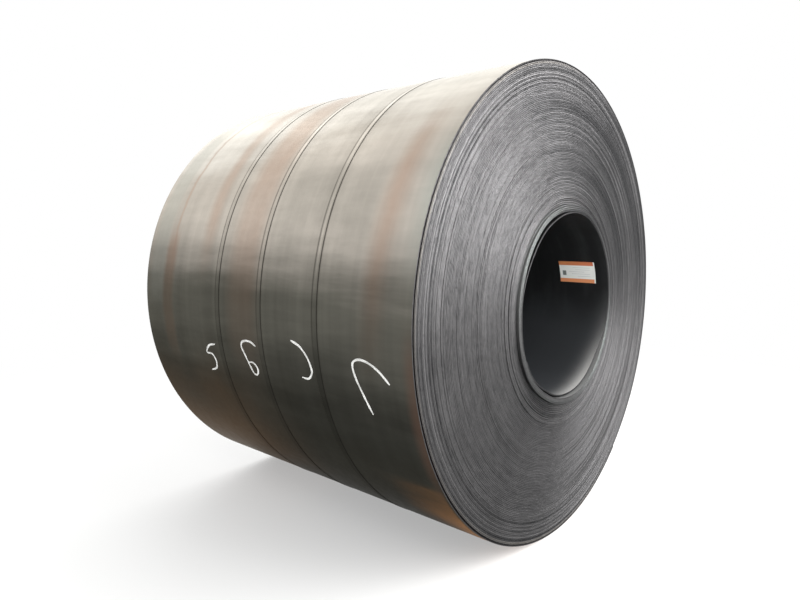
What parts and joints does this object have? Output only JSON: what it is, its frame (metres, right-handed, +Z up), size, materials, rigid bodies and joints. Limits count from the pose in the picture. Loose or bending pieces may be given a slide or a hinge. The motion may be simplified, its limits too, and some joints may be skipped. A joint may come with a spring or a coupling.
{
  "type": "steel coil",
  "caption": "Coil of hot-rolled steel strip lying on its side, wound in stepped turns round an open bore and held by steel straps.",
  "frame": {"origin": "on the floor, under the middle of the coil, midway between the two ends' furthest turns", "axes": "+Y along the coil's axis from its front end to its back end, +Z up, +X to the right of someone who faces the front end"},
  "size_m": [1.9204, 1.643, 1.9203],
  "materials": {
    "hot_rolled_strip": "mill scale, semi-gloss, with brown heat bands and rust near the edge",
    "strap_steel": "blued steel strap, worn",
    "label_paper": "white label paper with orange bands"
  },
  "bodies": {
    "root": {"wound_strip": "hot_rolled_strip", "strap_front": "strap_steel", "strap_middle": "strap_steel", "strap_rear": "strap_steel", "seal_front": "strap_steel", "seal_middle": "strap_steel", "seal_rear": "strap_steel", "label": "label_paper"}
  },
  "joints": []
}
